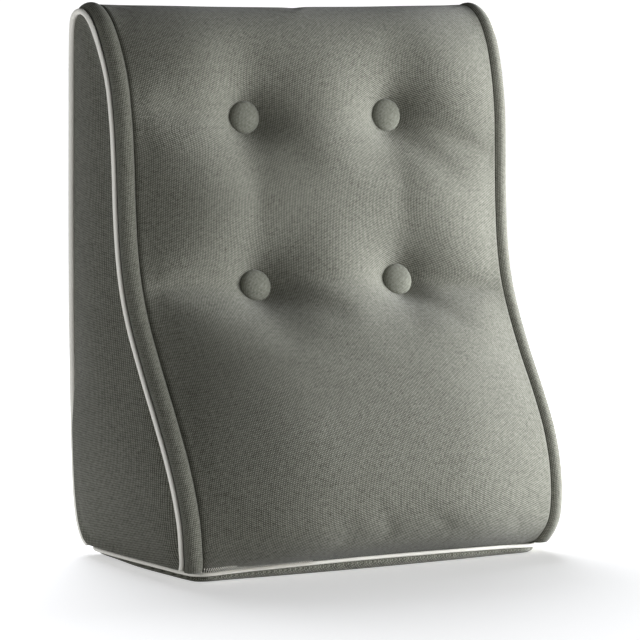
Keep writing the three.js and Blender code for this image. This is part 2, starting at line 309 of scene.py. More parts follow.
# The panel between the rolls, by the distance along the seam, in mm: the lip with which it leaves the roll,
# the height and the width of its soft shoulder, and what the middle adds or sags by.
panelRows = np.array([
    (0, 1, 9, 120, 1), (16, 1.5, 13, 130, 3), (45, 2, 21, 140, 6), (110, 2, 25, 150, 8),
    (260, 2, 31, 130, 5), (420, 2, 32, 116, 2), (560, 2, 19, 100, 2), (600, 1.5, 11, 110, 0),
    (640, 1, 2, 110, -5), (700, 1, 0, 110, -7), (760, 1, 2, 110, -2), (1200, 1, 3, 110, 1),
    (1320, 1, 1, 110, 0),
]) * mm
panel = {
    "smoothing": 22 * mm,               # the width over which those rows are rounded off
    "leaves": math.radians(140),        # the roll, whose front is at 90 and inner side at 180
    "lipWidth": 4 * mm,
}

# The tufting. A pull is 1 where a button draws the filling in fully, and 0 where it doesn't.
tuft = {
    "side": 87.5 * mm,                  # from the middle to a button's middle
    "floor": 12.6 * mm,                 # the radius that is drawn in fully
    "near": 24 * mm,                    # over which the pull on the panel's edge fades
    "steepReach": 16 * mm,              # the pull on the filling fades steeply at first, and then slowly
    "slowReach": 52 * mm,
    "steepShare": 0.58,
    "foldDepth": 0.75,                  # the fold from a button to its seam: its share of the filling,
    "foldWidth": 26 * mm,               # its half width,
    "foldInward": 55 * mm,              # how soon it fades towards the middle,
    "foldRun": 120 * mm,                # how far from the button it has its full lift, and its greatest lift
    "foldEnd": 1.2,
    "downDepth": 0.13,                  # the fold up and down between the rows of buttons
    "downWidth": 34 * mm,
    "aboveFade": 60 * mm,
    "belowFade": 26 * mm,
    "tip": 9 * mm,                      # how blunt the folds are
    "creaseWidth": 17 * mm,             # the short crease that runs down to the right from each button
    "creaseLength": 48 * mm,
    "creaseStart": 4.2 * mm,            # over which it sets in
    # each button: side, height on the seam, depth of its seat, how far up its fold meets the seam, and its
    # crease's turn from level and share of the filling
    "buttons": {
        "lower_left": (-1, 296 * mm, 3 * mm, 4 * mm, math.radians(-30), 0.42),
        "lower_right": (1, 296 * mm, 3 * mm, -18 * mm, math.radians(-48), 0.3),
        "upper_left": (-1, 477 * mm, -4 * mm, 14 * mm, math.radians(-38), 0.25),
        "upper_right": (1, 477 * mm, -4 * mm, -40 * mm, math.radians(-42), 0.95),
    },
}


def makeTufts():
    # each button's place along the seam, interpolated by height, with its other values by name
    front = seamArc < topFront
    spots = []
    for name, (onSide, height, seat, lift, turn, crease) in tuft["buttons"].items():
        place = np.interp(height, seam[front, 2], seamArc[front])
        spots.append({"name": name, "side": onSide, "along": place, "seat": seat,
                      "lift": lift, "turn": turn, "crease": crease})
    return spots


tufts = makeTufts()
rowAlong = sorted({spot["along"] for spot in tufts})


def fade(distance, width):
    # 1 on a line and less beside it, with a blunt tip: exp(-(sqrt(distance2 + tip2) - tip) / width)
    return np.exp(-(np.hypot(distance, tuft["tip"]) - tuft["tip"]) / width)


def pullsAt(spot, x, at):
    # How far a button draws in the panel's edge and its filling. All round it the pull is
    # exp(-(distance - floor) / reach), with a steep and a slow reach for the filling. The filling is also
    # drawn in along the fold to the seam, by fade(), and along the crease, where the pull is
    # exp(-(beside / width)2 - ahead / length) / (1 + exp(-ahead / start)).
    right, up = x - spot["side"] * tuft["side"], at - spot["along"]
    across = right * spot["side"]
    distance = np.maximum(np.hypot(across, up) - tuft["floor"], 0)
    line = spot["along"] + spot["lift"] * np.clip(across / tuft["foldRun"], 0, tuft["foldEnd"])
    fold = tuft["foldDepth"] * fade(at - line, tuft["foldWidth"])
    fold = fold * np.exp(np.minimum(across, 0) / tuft["foldInward"])
    pull = tuft["steepShare"] * np.exp(-distance / tuft["steepReach"])
    pull += (1 - tuft["steepShare"]) * np.exp(-distance / tuft["slowReach"])
    ahead = right * math.cos(spot["turn"]) + up * math.sin(spot["turn"])
    beside = up * math.cos(spot["turn"]) - right * math.sin(spot["turn"])
    crease = np.exp(-(beside / tuft["creaseWidth"]) ** 2 - np.maximum(ahead, 0) / tuft["creaseLength"])
    crease = spot["crease"] * crease / (1 + np.exp(-ahead / tuft["creaseStart"]))
    return np.exp(-distance / tuft["near"]), 1 - (1 - pull) * (1 - fold) * (1 - crease)


def panelHeight(x, at, half, inside, lip, shoulder, width, belly):
    # The lip is a quarter ellipse, h sqrt(1 - (1 - inside / width)2), the shoulder a quarter wave,
    # h sin(pi inside / 2 width), and the belly b (1 - (x / half)2), above where the panel leaves the roll.
    # The folds up and down take a share of them, and each button takes them down to its seat by its pulls.
    start = (trim["rollRadius"] + trim["clearance"]) * math.sin(panel["leaves"])
    onLip = np.clip(inside / panel["lipWidth"], 0, 1)
    firm = start + lip * np.sqrt(1 - (1 - onLip) ** 2)
    wave = np.sin(math.pi / 2 * np.clip(inside / width, 0, 1))
    soft = shoulder * wave + belly * (1 - (x / half) ** 2) * onLip
    above = np.exp(-np.maximum(at - rowAlong[1], 0) / tuft["aboveFade"])
    below = np.exp(-np.maximum(rowAlong[0] - at, 0) / tuft["belowFade"])
    down = fade(np.abs(x) - tuft["side"], tuft["downWidth"])
    soft = soft * (1 - tuft["downDepth"] * down * above * below)
    for spot in tufts:
        near, far = pullsAt(spot, x, at)
        firm = firm * (1 - near) + spot["seat"] * near
        soft = soft * (1 - far)
    return firm + soft


def makeStrip(sign):
    # One half of the strip that goes up the front, over the top and down the back. Each row goes from the
    # middle to the roll, then round under the roll and the piping.
    lip, shoulder, width, belly = (v[:, None] for v in smoothTable(panelRows, along, panel["smoothing"]))
    half, tuck = stations[:, :1], stations[:, 3:]
    rollHollow = trim["rollRadius"] + trim["clearance"]
    cordHollow = byDepth(stations, trim["pipingRadius"], trim["backPipingRadius"])[:, None]
    cordHollow = cordHollow + trim["clearance"]
    inner = half + rollHollow * math.cos(panel["leaves"])
    share = np.linspace(0, 1, body["innerSteps"] + 1)[None, :]
    share = share * (1 + body["middleWide"] - body["middleWide"] * share**2)
    turn = np.linspace(math.pi / 2, 0, body["rimSteps"] + 1)[None, 1:]
    x = np.hstack([share * (inner - panel["lipWidth"]), inner - panel["lipWidth"] * (1 - np.cos(turn))])
    height = panelHeight(x * sign, along[:, None], half, inner - x, lip, shoulder, width, belly)
    # the hollows round the roll and the piping: centre + radius (cos, sin)
    aside = piping[:, :1] - half
    toPiping = np.arctan2(-tuck, aside)
    rollSpan = 2 * math.pi + toPiping - body["rollShort"] - panel["leaves"]
    rollTurn = panel["leaves"] + np.linspace(0, 1, body["rollSteps"] + 1)[None, 1:] * rollSpan
    cordStart = toPiping + math.pi + body["pipingShort"]
    bareFront, bareBack, bareLow = body["pipingBare"]
    low = byDepth(stations, 0, 1) * np.interp(stations[:, 2], side["riseFrom"], (1, 0))
    bare = byDepth(stations, bareFront, bareBack) * (1 - low) + bareLow * low
    cordEnd = 2 * math.pi - bare[:, None]
    cordTurn = cordStart + np.linspace(0, 1, body["pipingSteps"] + 1)[None, :] * (cordEnd - cordStart)
    x = np.hstack([x, half + rollHollow * np.cos(rollTurn), half + aside + cordHollow * np.cos(cordTurn)])
    height = np.hstack([height, rollHollow * np.sin(rollTurn), cordHollow * np.sin(cordTurn) - tuck])
    points = stations[:, None, :3] + outward[:, None] * height[:, :, None]
    points[:, :, 0] = x * sign
    return points


def acrossLength(points):
    # the distance across each row of a grid from its first column
    steps = np.linalg.norm(np.diff(points, axis=1), axis=2)
    return np.hstack([np.zeros((len(points), 1)), np.cumsum(steps, axis=1)])


# Where the side panels' lower corners are on the base seam, as depths, and how the cover tucks in to that
# seam below the rolls, in mm: inset and height.
baseCorners = np.array([5, 200]) * mm - frontSeam
baseTuck = np.array([(3.4, 8.8), (2.2, 10.2), (0.6, 11.8)]) * mm
rightEdgeFrom = 150 * mm                # half width beyond which the base seam is its right edge


def baseSeamPlaces(strip):
    # one row's columns spread along the base seam, from the middle to the side panel's corner
    rightEdge = (baseArc < baseArc[-1] / 2) & (baseLine[:, 0] > rightEdgeFrom)
    front, back = np.interp(baseCorners, baseLine[rightEdge, 1], baseArc[rightEdge])
    across = acrossLength(strip[[0, -1]])
    share = across / across[:, -1:]
    middle = baseArc[-1] / 2
    return share[0] * front, middle - share[1] * (middle - back), front, back


def coons(front, back, low, high, u, v):
    # a patch between four edges: front(v)(1 - u) + back(v)u + low(u)(1 - v) + high(u)v, less the corners,
    # which would count twice
    u, v = u[None, :, None], v[:, None, None]
    return (front[:, None] * (1 - u) + back[:, None] * u + low[None] * (1 - v) + high[None] * v
            - low[0] * (1 - u) * (1 - v) - low[-1] * u * (1 - v) - high[0] * (1 - u) * v - high[-1] * u * v)


side = {
    # half width and puff by height, in mm
    "rows": np.array([
        (0, 225, 4), (40, 228, 8), (100, 233, 11), (210, 236, 11), (360, 238.5, 5), (600, 244, 3),
    ]) * mm,
    "smoothing": 30 * mm,
    "rise": 12 * mm,                    # how soon the panel leaves its seam, low down and high up
    "riseHigh": 26 * mm,
    "riseFrom": (140 * mm, 200 * mm),
    "weave": (0.55, 1.0),               # its threads lie further apart front to back
    "crown": 3 * mm,
    "crownWidth": 60 * mm,
}


def makeSide(strip, low):
    # The right side panel: a patch inside its four seams whose x goes from the seam's to half + puff as
    # 1 - exp(-d / rise), and to the crown as 1 - exp(-(d / width)2), with d the distance to the seam.
    topFirst = len(baseTuck) + body["frontSteps"]
    topLast = topFirst + body["topSteps"]
    frontEdge = strip[: topFirst + 1, -1]
    topEdge = strip[topFirst: topLast + 1, -1]
    backEdge = strip[topLast:, -1][::-1]
    v = arcLength(frontEdge) / arcLength(frontEdge)[-1]
    points = coons(frontEdge, backEdge, low, topEdge, pinched, v)
    seams = np.vstack([frontEdge, topEdge, backEdge, low])[:, 1:]
    gap = points.reshape(-1, 1, 3)[:, :, 1:] - seams[None]
    d = np.sqrt((gap**2).sum(axis=2).min(axis=1)).reshape(points.shape[:2])
    half, puff = smoothTable(side["rows"], points[:, :, 2], side["smoothing"])
    rise = np.interp(points[:, :, 2], side["riseFrom"], (side["rise"], side["riseHigh"]))
    share = 1 - np.exp(-d / rise)
    crown = side["crown"] * (1 - np.exp(-(d / side["crownWidth"]) ** 2))
    points[:, :, 0] = points[:, :, 0] * (1 - share) + (half + puff + crown) * share
    return points


def mirrorX(points):
    return points * [-1, 1, 1]


def tuckStrip(strip, places):
    # the strip's rows below the rolls, which tuck in to the base seam at the front and the back
    tucked = [np.stack([baseAt(places[end], inset, height) for inset, height in baseTuck]) for end in (0, 1)]
    return np.concatenate([tucked[0], strip, tucked[1][::-1]])


def makeBody():
    # the strip, both side panels and what closes it underneath, each a grid of points with uvs in metres
    right = makeStrip(1)
    frontPlaces, backPlaces, front, back = baseSeamPlaces(right)
    left = tuckStrip(makeStrip(-1), (-frontPlaces, baseArc[-1] - backPlaces))
    right = tuckStrip(right, (frontPlaces, backPlaces))
    inset, height = baseTuck[0]
    low = baseAt(front + (back - front) * pinched, inset, height)
    sidePanel = makeSide(right, low)
    whole = np.concatenate([left[:, :0:-1], right], axis=1)
    share = np.linspace(0, 1, whole.shape[1])
    under = coons(mirrorX(low), low, whole[0], whole[-1], share, pinched)
    past = 4 * mm                       # from the rolls' ends to where the cover tucks in
    before = along[0] - baseTuck[::-1, 0] - past
    after = along[-1] + baseTuck[:, 0] + past
    rowsAlong = np.concatenate([before, along, after])
    across = acrossLength(whole)
    halfway = across.shape[1] // 2
    across -= across[:, halfway: halfway + 1]
    stripUv = np.stack([across, np.broadcast_to(rowsAlong[:, None], across.shape)], axis=2)
    grids = [
        (whole, stripUv),
        (sidePanel, sidePanel[:, :, 1:] * side["weave"] + [1, 0]),
        (mirrorX(sidePanel), sidePanel[:, :, 1:] * side["weave"] + [2, 0]),
        (under, under[:, :, :2] + [3, 0]),
    ]
    return joinGrids("cushionBody", grids)


cloth = {
    "frames": 20,
    "pressure": 4,
    "spare": 0.002,                     # the fabric's spare length, as a share
    "cap": 3 * mm,                      # how far a point may move
    "held": 3 * mm,                     # the fabric is held this close to the trim and the buttons
    "free": 26 * mm,                    # and moves freely beyond this
    "heldBelow": 16 * mm,
    "buttonEdge": 5 * mm,               # how far the buttons reach past the part that is drawn in fully
    "quality": 4,
    "mass": 0.3,
    "stretch": 15,
    "shear": 5,
    "bending": 0.5,
}


def distanceToHeld(points):
    # from each point to the nearest roll, piping, button or the base: |point - line| - radius
    samples, parts = 400, 8             # the lines go part by part, to save memory
    places = np.linspace(0, seamArc[-1], samples)
    rollLine = resample(seam, places)
    lines = [rollLine[:, :3], pipingLine(rollLine, outwardAt(rollLine, places))]
    nearest = points[:, 2] - cloth["heldBelow"]
    onRight = np.column_stack([np.abs(points[:, 0]), points[:, 1:]])
    for line, radius in zip(lines, (trim["rollRadius"], trim["pipingRadius"])):
        for part in np.array_split(line, parts):
            gap = np.linalg.norm(onRight[:, None] - part[None], axis=2).min(axis=1)
            nearest = np.minimum(nearest, gap - radius)
    for spot in tufts:
        line = resample(seam, np.array([spot["along"]]))[0]
        seat = np.array([tuft["side"], line[1], line[2]])
        gap = np.linalg.norm(onRight - seat, axis=1)
        nearest = np.minimum(nearest, gap - tuft["floor"] - cloth["buttonEdge"])
    return nearest


def settleFabric(obj):
    # The cover as cloth held along its seams and under its buttons, with the filling's pressure behind it.
    # What it moves is capped, move min(1, cap / |move|), and fades out by s2 (3 - 2s) towards what holds it.
    points = np.empty(len(obj.data.vertices) * 3, dtype=np.float32)
    obj.data.vertices.foreach_get("co", points)
    points = points.reshape(-1, 3).astype(float)
    distance = distanceToHeld(points)
    cover = bpy.data.objects.new("cover", obj.data.copy())
    bpy.context.collection.objects.link(cover)
    held = cover.vertex_groups.new(name="held")
    held.add(np.flatnonzero(distance < cloth["held"]).tolist(), 1.0, "REPLACE")
    simulated = cover.modifiers.new("cloth", "CLOTH")
    settings = simulated.settings
    settings.quality = cloth["quality"]
    settings.mass = cloth["mass"]
    settings.tension_stiffness = cloth["stretch"]
    settings.compression_stiffness = cloth["stretch"]
    settings.shear_stiffness = cloth["shear"]
    settings.bending_stiffness = cloth["bending"]
    settings.vertex_group_mass = "held"
    settings.shrink_min = -cloth["spare"]
    settings.use_pressure = True
    settings.uniform_pressure_force = cloth["pressure"]
    settings.effector_weights.gravity = 0
    simulated.point_cache.frame_end = cloth["frames"]
    for frameNumber in range(1, cloth["frames"] + 1):
        bpy.context.scene.frame_set(frameNumber)
    settled = cover.evaluated_get(bpy.context.evaluated_depsgraph_get()).to_mesh()
    moved = np.empty(points.size, dtype=np.float32)
    settled.vertices.foreach_get("co", moved)
    move = moved.reshape(-1, 3) - points
    bpy.context.scene.frame_set(1)
    bpy.data.objects.remove(cover)
    length = np.linalg.norm(move, axis=1)[:, None] + 1e-9
    loose = np.clip((distance - cloth["held"]) / (cloth["free"] - cloth["held"]), 0, 1)[:, None]
    loose = loose**2 * (3 - 2 * loose)
    points += move * np.minimum(1, cloth["cap"] / length) * loose
    obj.data.vertices.foreach_set("co", points.astype(np.float32).ravel())
    obj.data.update()
    print("the cloth moved", np.percentile(length / mm, (50, 90, 99)).round(1), "mm")


def tubeGrids(line, axes, radii, sides, aroundLength, floor=None):
    # A tube: line + radius (cos(turn) axis0 + sin(turn) axis1), with its ends closed to a point in the
    # middle. Its uvs run along and around it. floor cuts its ends off level at a height.
    lidRings = 5
    turn = np.linspace(0, 2 * math.pi, sides + 1)[None, :, None]
    radii = np.broadcast_to(radii, (len(line), 1))[:, :, None]
    points = line[:, None, :3] + radii * (np.cos(turn) * axes[0][:, None] + np.sin(turn) * axes[1][:, None])
    around = np.linspace(0, aroundLength, sides + 1)[None, :]
    uv = np.stack(np.broadcast_arrays(around, arcLength(line)[:, None]), axis=2)
    if floor is not None:
        points[:, :, 2] = np.maximum(points[:, :, 2], floor)
    shrink = np.linspace(1, 0, lidRings)[:, None, None]
    grids = [(points, uv)]
    for end in (0, -1):
        middle = points[end, :-1].mean(axis=0)
        lid = middle + (points[end][None] - middle) * shrink
        grids.append((lid, np.broadcast_to(uv[end], (lidRings, *uv[end].shape))))
    return grids


roll = {
    "sides": 28,
    "step": 3 * mm,
    "lowest": 11.6 * mm,                # where it ends above the base piping
}


def makeRoll(name, sign):
    # a tube along the seam line, on the left with sign -1 and on the right with 1
    count = int(seamArc[-1] / roll["step"])
    places = np.linspace(0, seamArc[-1], count)
    line = resample(seam, places)
    out = outwardAt(line, places)
    slope = np.gradient(line[:, :3], places, axis=0)
    slope /= np.linalg.norm(slope, axis=1)[:, None]
    aside = np.cross(slope, out)
    aside /= np.linalg.norm(aside, axis=1)[:, None]
    out = np.cross(aside, slope)
    flip = [sign, 1, 1]
    return joinGrids(name, tubeGrids(line[:, :3] * flip, (aside * flip, out * flip), trim["rollRadius"],
                                     roll["sides"], 2 * math.pi * trim["rollRadius"], floor=roll["lowest"]))


cord = {
    "baseRadius": 2.0 * mm,             # drawn thinner round the base, and deeper into the seam
    "baseInset": 0.6 * mm,
    "baseRings": 560,
    "sides": 12,
    "step": 3 * mm,
    "sideEnd": 12.6 * mm,               # where the side piping is cut off above the base piping
    "joint": 1.4 * mm,                  # between the base piping's ends
}


def directionAlong(line):
    # d / |d|, with d the line's slope
    slope = np.gradient(line, axis=0)
    return slope / np.linalg.norm(slope, axis=1)[:, None]


def makeSidePiping(name, sign):
    # a tube beside the roll, thicker down the back
    count = int(seamArc[-1] / cord["step"])
    places = np.linspace(0, seamArc[-1], count)
    rollLine = resample(seam, places)
    line = pipingLine(rollLine, outwardAt(rollLine, places))
    slope = directionAlong(line)
    aside = np.array([1.0, 0, 0]) - slope * slope[:, :1]
    aside /= np.linalg.norm(aside, axis=1)[:, None]
    out = np.cross(aside, slope)
    flip = [sign, 1, 1]
    radii = byDepth(rollLine, trim["pipingRadius"], trim["backPipingRadius"])[:, None]
    return joinGrids(name, tubeGrids(line * flip, (aside * flip, out * flip), radii, cord["sides"],
                                     2 * math.pi * trim["pipingRadius"], floor=cord["sideEnd"]))


def makeBasePiping(name):
    # once round the base seam from the middle of the back, with its two ends close together there
    middle = baseArc[-1] / 2
    firstPlace = cord["joint"] / 2
    places = np.linspace(firstPlace, baseArc[-1] - firstPlace, cord["baseRings"]) + middle
    line = baseAt(places, cord["baseInset"], trim["baseSeamHeight"])
    slope = directionAlong(line)
    up = np.broadcast_to([0, 0, 1.0], line.shape)
    return joinGrids(name, tubeGrids(line, (np.cross(slope, up), up), cord["baseRadius"], cord["sides"],
                                     2 * math.pi * cord["baseRadius"]))


stitches = {
    "count": 62,
    "from": -205 * mm,                  # across the front, from the left corner towards the middle
    "to": -78 * mm,
    "radius": 0.32 * mm,
    "sides": 6,
    "over": (-0.2, 0.9),                # how they go round the piping, in radians from level
    "overSteps": 6,
    "up": np.array([(-4.8, 13.2), (-9, 16.6)]) * mm,    # and on up the cover: inset and height
    "around": 1 * mm,                   # how much of the fabric's pattern goes round one
}


def makeStitches(name):
    # The hand stitches that hold the left of the base piping to the cover: round the piping as
    # seam + radius (cos, sin), then up.
    turn = np.linspace(*stitches["over"], stitches["overSteps"])
    reach = cord["baseRadius"] + stitches["radius"]
    insets = np.append(cord["baseInset"] - reach * np.cos(turn), stitches["up"][:, 0])
    heights = np.append(trim["baseSeamHeight"] + reach * np.sin(turn), stitches["up"][:, 1])
    grids = []
    for place in np.linspace(stitches["from"], stitches["to"], stitches["count"]):
        at = np.array([place])
        line = np.vstack([baseAt(at, inset, height) for inset, height in zip(insets, heights)])
        sideways = np.broadcast_to([1.0, 0, 0], line.shape)
        axes = (sideways, np.cross(directionAlong(line), sideways))
        grids += tubeGrids(line, axes, stitches["radius"], stitches["sides"], stitches["around"])
    return joinGrids(name, grids)


basePanel = {
    # the panel's edge from its flat underside up to the seam, in mm: inset from the base seam, and height
    "edge": np.array([
        (9, 0), (5.6, 0.5), (3.4, 1.7), (1.8, 3.2), (1, 4.8), (1.9, 6), (3.3, 7.6), (3.6, 8.3),
    ]) * mm,
    "middle": 8 * mm,                   # how far back its middle lies
    "columns": 480,
    "rings": 8,
    "corner": (214 * mm, 190 * mm),     # the back corners curl in more: half width and depth
    "cornerCurl": 9 * mm,
    "cornerReach": 60 * mm,
}


def makeBasePanel(name):
    # The edge carried round the base seam, and both faces as edge share + middle (1 - share). At the back
    # corners the inset grows by curl exp(-(away / reach)2), less higher up.
    places = np.linspace(0, baseArc[-1], basePanel["columns"] + 1)
    seamPoints = baseAt(places, 0, 0)
    corner = np.array(basePanel["corner"]) - [0, frontSeam]
    away = np.hypot(np.abs(seamPoints[:, 0]) - corner[0], seamPoints[:, 1] - corner[1])
    curl = basePanel["cornerCurl"] * np.exp(-(away / basePanel["cornerReach"]) ** 2)
    top = basePanel["edge"][-1, 1]
    wall = np.stack([baseAt(places, inset + curl * (1 - height / top), height)
                     for inset, height in basePanel["edge"]])
    share = np.linspace(0, 1, basePanel["rings"] + 1)[:, None, None]
    middle = np.array([0, basePanel["middle"], 0])
    under = wall[0] * share + middle * (1 - share)
    over = wall[-1] * share + (middle + [0, 0, top]) * (1 - share)
    points = np.concatenate([under[:-1], wall, over[::-1][1:]])
    return joinGrids(name, [(points, points[:, :, :2])])


button = {
    # the covered button from the middle of its flat back over its rim to the middle of its dome, in mm:
    # radius, height
    "profile": np.array([
        (0, 0), (10, 0), (14.5, 0), (17.6, 1.6), (18, 3.4), (16.2, 5.8), (10, 8.2), (0, 9.2),
    ]) * mm,
    "radius": 18 * mm,
    "rowsPerPoint": 6,
    "flatRows": 13,                     # as many rows of the profile are the flat back
    "columns": 72,
    "folds": 22,                        # small folds round the rim
    "foldDepth": 0.22 * mm,
    "foldsAbove": 1 * mm,
    "unevenly": 1.3,                    # how unevenly the folds are spaced
    "turnedBy": 40,                     # each button has them turned by this times its place in metres
}


def makeButton(name, spot):
    # The profile turned about the outward direction: place + radius (cos, sin) + outward height. The folds
    # add depth sin(folds turn + unevenly sin(3 turn)) to the radius at the rim.
    profile = np.column_stack([button["profile"], np.zeros(len(button["profile"]))])
    profile = splineThrough(profile, button["rowsPerPoint"])[:, :2]
    profile[:, 0] = np.clip(profile[:, 0], 0, None)
    profile[[0, -1], 0] = 0
    profile[: button["flatRows"], 1] = 0
    station = resample(seam, np.array([spot["along"]]))
    nearby = spot["along"] + np.array([-1, 0, 1]) * mm
    out = outwardAt(resample(seam, nearby), nearby)[1]
    origin = station[0, :3] + out * (spot["seat"] + trim["clearance"])
    origin[0] = spot["side"] * tuft["side"]
    turn = np.linspace(0, 2 * math.pi, button["columns"] + 1)[None, :]
    radius, height = profile[:, :1], profile[:, 1:]
    rim = np.clip(radius / button["radius"], 0, 1) ** 5 * (height > button["foldsAbove"])
    shift = button["unevenly"] * np.sin(3 * turn + spot["along"] * button["turnedBy"])
    wide = radius + button["foldDepth"] * rim * np.sin(turn * button["folds"] + shift)
    aside, up = np.array([1.0, 0, 0]), np.cross(out, [1.0, 0, 0])
    points = (origin + wide[:, :, None] * (np.cos(turn)[:, :, None] * aside + np.sin(turn)[:, :, None] * up)
              + (height + 0 * turn)[:, :, None] * out)
    uv = np.stack([wide * np.cos(turn), wide * np.sin(turn)], axis=2)
    return joinGrids(name, [(points, uv)])


# Materials: woven fabric, with the threads worked out from the weave uvs, which are in metres.
def addNode(tree, kind, operation=None, **inputs):
    # inputs are sockets by name, or by number as i0, i1 and so on: a value, or the socket it is linked from
    node = tree.nodes.new(kind)
    if operation:
        node.operation = operation
    for key, value in inputs.items():
        socket = node.inputs[int(key[1:])] if key[0] == "i" and key[1:].isdigit() else node.inputs[key]
        if isinstance(value, bpy.types.NodeSocket):
            tree.links.new(value, socket)
        else:
            socket.default_value = value
    return node


def math2(tree, operation, a, b=0.0):
    return addNode(tree, "ShaderNodeMath", operation, i0=a, i1=b).outputs[0]


def ridges(tree, across):
    # |sin(pi across)|: 0 between two threads and 1 on top of one
    wave = math2(tree, "SINE", math2(tree, "MULTIPLY", across, math.pi))
    return math2(tree, "ABSOLUTE", wave)


def aroundZero(tree, value, middle, strength):
    # (value - middle) strength
    return math2(tree, "MULTIPLY", math2(tree, "SUBTRACT", value, middle), strength)


def toLinear(colour):
    # sRGB 0-255 to linear: ((c + 0.055) / 1.055)2.4
    return [((c / 255 + 0.055) / 1.055) ** 2.4 for c in colour] + [1.0]


def noiseAt(tree, vector, scale, detail=2.0, roughness=0.5):
    node = addNode(tree, "ShaderNodeTexNoise", Vector=vector, Scale=scale, Detail=detail,
                   Roughness=roughness)
    return node.outputs["Fac"]


weaving = {
    "columnShift": 0.35,                # each column of dots starts this part of a thread further on
    "sharpness": 1.5,                   # of the dots
    "dotMiddle": 0.3,                   # the dots' mean brightness
    "weftScale": 1.3,                   # the weft changes its shade slowly along a thread
    "weftStretch": 0.3,
    "weftStrength": 1.4,
    "fleckScale": 0.45,
    "fleckStrength": 1.6,
    "fleckRelief": 0.9,
    "cloudScale": 26.0,                 # wide, faint patches
    "cloudStrength": 0.3,
    "bump": 0.8,
    "sheenRoughness": 0.5,
    "specular": 0.15,
}


def wovenFabric(name, dark, light, pitch, relief, contrast, melange, sheen, roughness=0.95):
    # A weave of the uvs over the pitch: light dots, |sin(pi u)| |sin(pi v)| to the power of their sharpness,
    # each weft thread in its own shade, flecks and faint patches. Their sum mixes the dark and light colours.
    material = bpy.data.materials.new(name)
    material.use_nodes = True
    tree = material.node_tree
    tree.nodes.clear()
    uv = tree.nodes.new("ShaderNodeUVMap")
    uv.uv_map = "weave"
    threads = addNode(tree, "ShaderNodeVectorMath", "SCALE", i0=uv.outputs[0])
    threads.inputs["Scale"].default_value = 1 / pitch
    split = addNode(tree, "ShaderNodeSeparateXYZ", i0=threads.outputs[0])
    u, v = split.outputs[0], split.outputs[1]
    column = math2(tree, "FLOOR", u)
    shifted = math2(tree, "ADD", v, math2(tree, "MULTIPLY", column, weaving["columnShift"]))
    crossings = math2(tree, "MULTIPLY", ridges(tree, u), ridges(tree, shifted))
    dots = math2(tree, "POWER", crossings, weaving["sharpness"])
    slowU = math2(tree, "MULTIPLY", u, weaving["weftStretch"])
    alongWeft = addNode(tree, "ShaderNodeCombineXYZ", i0=slowU, i1=math2(tree, "FLOOR", v))
    weft = noiseAt(tree, alongWeft.outputs[0], weaving["weftScale"])
    fleck = noiseAt(tree, threads.outputs[0], weaving["fleckScale"], detail=3.0, roughness=0.6)
    cloud = noiseAt(tree, uv.outputs[0], weaving["cloudScale"])
    tone = aroundZero(tree, weft, 0.5, weaving["weftStrength"] * melange)
    tone = math2(tree, "ADD", tone, aroundZero(tree, fleck, 0.5, weaving["fleckStrength"] * melange))
    tone = math2(tree, "ADD", tone, aroundZero(tree, cloud, 0.5, weaving["cloudStrength"]))
    tone = math2(tree, "ADD", tone, aroundZero(tree, dots, weaving["dotMiddle"], contrast))
    share = addNode(tree, "ShaderNodeMapRange", i0=tone, i1=-1.0, i2=1.0)
    colour = addNode(tree, "ShaderNodeMix")
    colour.data_type = "RGBA"
    tree.links.new(share.outputs[0], colour.inputs[0])
    colour.inputs[6].default_value = toLinear(dark)
    colour.inputs[7].default_value = toLinear(light)
    relieved = math2(tree, "ADD", dots, math2(tree, "MULTIPLY", fleck, weaving["fleckRelief"]))
    bump = addNode(tree, "ShaderNodeBump", Height=relieved, Distance=relief, Strength=weaving["bump"])
    shader = addNode(tree, "ShaderNodeBsdfPrincipled", Roughness=roughness)
    tree.links.new(colour.outputs[2], shader.inputs["Base Color"])
    tree.links.new(bump.outputs[0], shader.inputs["Normal"])
    shader.inputs["Sheen Weight"].default_value = sheen
    shader.inputs["Sheen Roughness"].default_value = weaving["sheenRoughness"]
    shader.inputs["Specular IOR Level"].default_value = weaving["specular"]
    addNode(tree, "ShaderNodeOutputMaterial", i0=shader.outputs[0])
    return material


coverFabric = wovenFabric("cover fabric", dark=(42, 42, 28), light=(143, 143, 131), pitch=1.85 * mm,
                          relief=0.22 * mm, contrast=2.1, melange=0.8, sheen=0.16)
buttonFabric = wovenFabric("button fabric", dark=(66, 67, 54), light=(143, 144, 131), pitch=1.6 * mm,
                           relief=0.2 * mm, contrast=1.0, melange=0.9, sheen=0.25)
pipingFabric = wovenFabric("piping fabric", dark=(230, 227, 215), light=(251, 248, 239), pitch=1.0 * mm,
                           relief=0.12 * mm, contrast=1.0, melange=0.5, sheen=0.25)

cushionBody = makeBody()
settleFabric(cushionBody)
finishPiece(cushionBody, coverFabric, "cover_fabric", "cushion_body")
finer = cushionBody.modifiers.new("finer", "SUBSURF")
finer.levels = finer.render_levels = 1
print("the cushion is done, with", len(cushionBody.data.vertices), "points before it is made finer")

finishPiece(makeBasePanel("basePanel"), coverFabric, "cover_fabric", "base_panel")
for sign, name in ((-1, "left"), (1, "right")):
    borderRoll = makeRoll("borderRoll_" + name, sign)
    finishPiece(borderRoll, coverFabric, "cover_fabric", "border_roll_" + name)
    sidePiping = makeSidePiping("sidePiping_" + name, sign)
    finishPiece(sidePiping, pipingFabric, "piping_fabric", "side_piping_" + name)
finishPiece(makeBasePiping("basePiping"), pipingFabric, "piping_fabric", "base_piping")
baseStitches = makeStitches("baseStitches")
bowFrontSeam(baseStitches.data)
baseStitches.data.materials.append(pipingFabric)
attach(baseStitches, "root")
print("the base panel, the rolls, the piping and the stitches are done")

